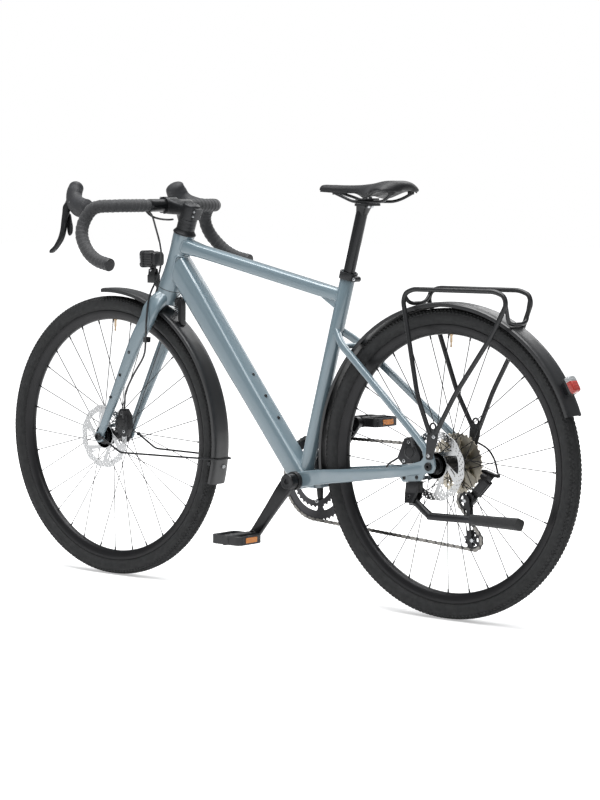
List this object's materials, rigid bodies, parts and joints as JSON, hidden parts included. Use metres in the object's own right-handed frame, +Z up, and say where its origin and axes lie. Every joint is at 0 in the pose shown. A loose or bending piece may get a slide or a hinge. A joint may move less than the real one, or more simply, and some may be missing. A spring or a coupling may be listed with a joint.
{
  "type": "gravel bike",
  "caption": "Drop-bar gravel bike with disc brakes, mudguards, rear rack, front and rear lights and a kickstand; steering, wheels, drivetrain, levers, seatpost and stand move.",
  "frame": {"origin": "centre of the bottom bracket, on the cranks' axis in the bike's middle plane", "axes": "+X points forward along the level ground, +Y to the rider's left, +Z up"},
  "size_m": [1.7722, 0.5322, 0.9947],
  "materials": {
    "frame_paint": "gloss blue-grey paint",
    "satin_black": "satin black",
    "black_plastic": "matt black",
    "rubber": "matt black",
    "bar_tape": "soft textured dark grey",
    "tyre": "matt tread",
    "rim_black": "satin black",
    "bright_steel": "bright",
    "sprocket_steel": "warm nickel plate",
    "chain_steel": "dark oiled steel",
    "red_lens": "clear red"
  },
  "bodies": {
    "bike_frame": {"frame": "frame_paint", "seat_clamp": "satin_black", "rear_mudguard": "black_plastic", "rack": "satin_black", "rear_light": "black_plastic", "rear_light_lens": "red_lens", "stand_mount": "satin_black", "rear_caliper": "satin_black", "rear_brake_hose": "rubber", "rd_knuckle_upper": "satin_black", "gear_housing": "rubber", "chain": "chain_steel", "rear_axle": "satin_black"},
    "steering": {"fork": "frame_paint", "headset_cover": "satin_black", "stem": "satin_black", "stem_faceplate": "satin_black", "handlebar": "satin_black", "bar_tape_left": "bar_tape", "bar_tape_right": "bar_tape", "hood_left": "rubber", "hood_right": "rubber", "front_brake_hose": "rubber", "bar_hose": "rubber", "coiled_cable": "rubber", "light_bracket": "black_plastic", "front_mudguard": "black_plastic", "guard_stay": "satin_black", "front_caliper": "satin_black", "front_axle": "satin_black"},
    "front_lamp": {"front_light": "black_plastic"},
    "lever_left": {"brake_lever_left": "satin_black"},
    "lever_right": {"brake_lever_right": "satin_black"},
    "paddle_left": {"shift_paddle_left": "satin_black"},
    "paddle_right": {"shift_paddle_right": "satin_black"},
    "front_wheel_set": {"front_wheel": "rim_black", "front_tyre": "tyre", "front_rotor": "bright_steel"},
    "rear_wheel_set": {"rear_wheel": "rim_black", "rear_tyre": "tyre", "rear_rotor": "bright_steel"},
    "gears": {"cassette": "sprocket_steel"},
    "cranks": {"crankset": "satin_black", "crank_left": "satin_black", "outer_chainring": "satin_black", "inner_chainring": "satin_black"},
    "left_pedal": {"pedal_left": "black_plastic"},
    "right_pedal": {"pedal_right": "black_plastic"},
    "saddle_group": {"seatpost": "satin_black", "saddle_rails": "satin_black", "saddle": "rubber"},
    "stand": {"stand_leg": "satin_black", "stand_foot": "rubber"},
    "outer_link": {"rd_outer_link": "satin_black"},
    "inner_link": {"rd_inner_link": "satin_black"},
    "lower_knuckle": {"rd_knuckle_lower": "satin_black"},
    "derailleur_cage": {"rd_cage": "satin_black"},
    "upper_pulley": {"guide_pulley": "black_plastic"},
    "lower_pulley": {"tension_pulley": "black_plastic"},
    "front_shifter_cage": {"front_derailleur": "satin_black"}
  },
  "joints": [
    {"name": "steering_turn", "type": "hinge", "parent": "bike_frame", "child": "steering", "pos_m": [0.43552, 0, 0.4438], "axis": [-0.342, 0, 0.9397], "range_deg": [-45, 45]},
    {"name": "front_wheel_spin", "type": "hinge", "parent": "steering", "child": "front_wheel_set", "pos_m": [0.63119, 0, 0.067], "axis": [0, 1, 0], "continuous": true},
    {"name": "rear_wheel_spin", "type": "hinge", "parent": "bike_frame", "child": "rear_wheel_set", "pos_m": [-0.42981, 0, 0.067], "axis": [0, 1, 0], "continuous": true},
    {"name": "crank_spin", "type": "hinge", "parent": "bike_frame", "child": "cranks", "pos_m": [0, 0, 0], "axis": [0, 1, 0], "continuous": true, "deforming": ["chain"]},
    {"name": "cassette_spin", "type": "hinge", "parent": "bike_frame", "child": "gears", "pos_m": [-0.42981, 0, 0.067], "axis": [0, 1, 0], "continuous": true},
    {"name": "pedal_left_spin", "type": "hinge", "parent": "cranks", "child": "left_pedal", "pos_m": [0.10501, 0, -0.13685], "axis": [0, 1, 0], "continuous": true},
    {"name": "pedal_right_spin", "type": "hinge", "parent": "cranks", "child": "right_pedal", "pos_m": [-0.10501, 0, 0.13685], "axis": [0, 1, 0], "continuous": true},
    {"name": "seatpost_slide", "type": "slide", "parent": "bike_frame", "child": "saddle_group", "axis": [-0.2672, 0, 0.9636], "range_m": [-0.1, 0.035]},
    {"name": "stand_swing", "type": "hinge", "parent": "bike_frame", "child": "stand", "pos_m": [-0.3838, 0.076, -0.0084], "axis": [0, -0.9272, -0.3746], "range_deg": [0, 105]},
    {"name": "front_light_tilt", "type": "hinge", "parent": "steering", "child": "front_lamp", "pos_m": [0.493, 0, 0.488], "axis": [0, 1, 0], "range_deg": [-12, 12]},
    {"name": "brake_lever_left_pull", "type": "hinge", "parent": "steering", "child": "lever_left", "pos_m": [0.59, 0.196, 0.655], "axis": [0, 0.9678, 0.2516], "range_deg": [0, 18], "stiffness_Nm_per_rad": 1.2, "springref_deg": -8.59},
    {"name": "brake_lever_right_pull", "type": "hinge", "parent": "steering", "child": "lever_right", "pos_m": [0.59, -0.196, 0.655], "axis": [0, 0.9678, -0.2516], "range_deg": [0, 18], "stiffness_Nm_per_rad": 1.2, "springref_deg": -8.59},
    {"name": "shift_paddle_left_push", "type": "hinge", "parent": "lever_left", "child": "paddle_left", "pos_m": [0.594, 0.1877, 0.655], "axis": [0, -0.2516, 0.9678], "range_deg": [0, 15], "stiffness_Nm_per_rad": 0.3, "springref_deg": -5.73},
    {"name": "shift_paddle_right_push", "type": "hinge", "parent": "lever_right", "child": "paddle_right", "pos_m": [0.594, -0.1877, 0.655], "axis": [0, -0.2516, -0.9678], "range_deg": [0, 15], "stiffness_Nm_per_rad": 0.3, "springref_deg": -5.73},
    {"name": "rear_derailleur_swing", "type": "hinge", "parent": "bike_frame", "child": "outer_link", "pos_m": [-0.47623, -0.08714, 0.02747], "axis": [0.6895, 0.3061, 0.6565], "range_deg": [-7, 27]},
    {"name": "inner_link_swing", "type": "hinge", "parent": "bike_frame", "child": "inner_link", "pos_m": [-0.47977, -0.07286, 0.02453], "axis": [0.6895, 0.3061, 0.6565], "range_deg": [-7, 27]},
    {"name": "lower_knuckle_swing", "type": "hinge", "parent": "outer_link", "child": "lower_knuckle", "pos_m": [-0.44173, -0.08614, -0.00923], "axis": [0.6895, 0.3061, 0.6565], "range_deg": [-27, 7]},
    {"name": "derailleur_cage_turn", "type": "hinge", "parent": "lower_knuckle", "child": "derailleur_cage", "pos_m": [-0.433, -0.06015, -0.0219], "axis": [0, 1, 0], "range_deg": [-30, 45], "stiffness_Nm_per_rad": 0.8},
    {"name": "guide_pulley_spin", "type": "hinge", "parent": "derailleur_cage", "child": "upper_pulley", "pos_m": [-0.433, -0.06015, -0.0219], "axis": [0, 1, 0], "continuous": true},
    {"name": "tension_pulley_spin", "type": "hinge", "parent": "derailleur_cage", "child": "lower_pulley", "pos_m": [-0.454, -0.06015, -0.1113], "axis": [0, 1, 0], "continuous": true},
    {"name": "front_derailleur_swing", "type": "hinge", "parent": "bike_frame", "child": "front_shifter_cage", "pos_m": [-0.033, -0.044, 0.15], "axis": [1, 0, 0], "range_deg": [0, 8]}
  ],
  "couplings": [
    {"joint": "cassette_spin", "follows": "crank_spin", "ratio": 3.3333},
    {"joint": "guide_pulley_spin", "follows": "crank_spin", "ratio": -4.5455},
    {"joint": "tension_pulley_spin", "follows": "crank_spin", "ratio": 4.5455},
    {"joint": "inner_link_swing", "follows": "rear_derailleur_swing", "ratio": 1},
    {"joint": "lower_knuckle_swing", "follows": "rear_derailleur_swing", "ratio": -1}
  ]
}
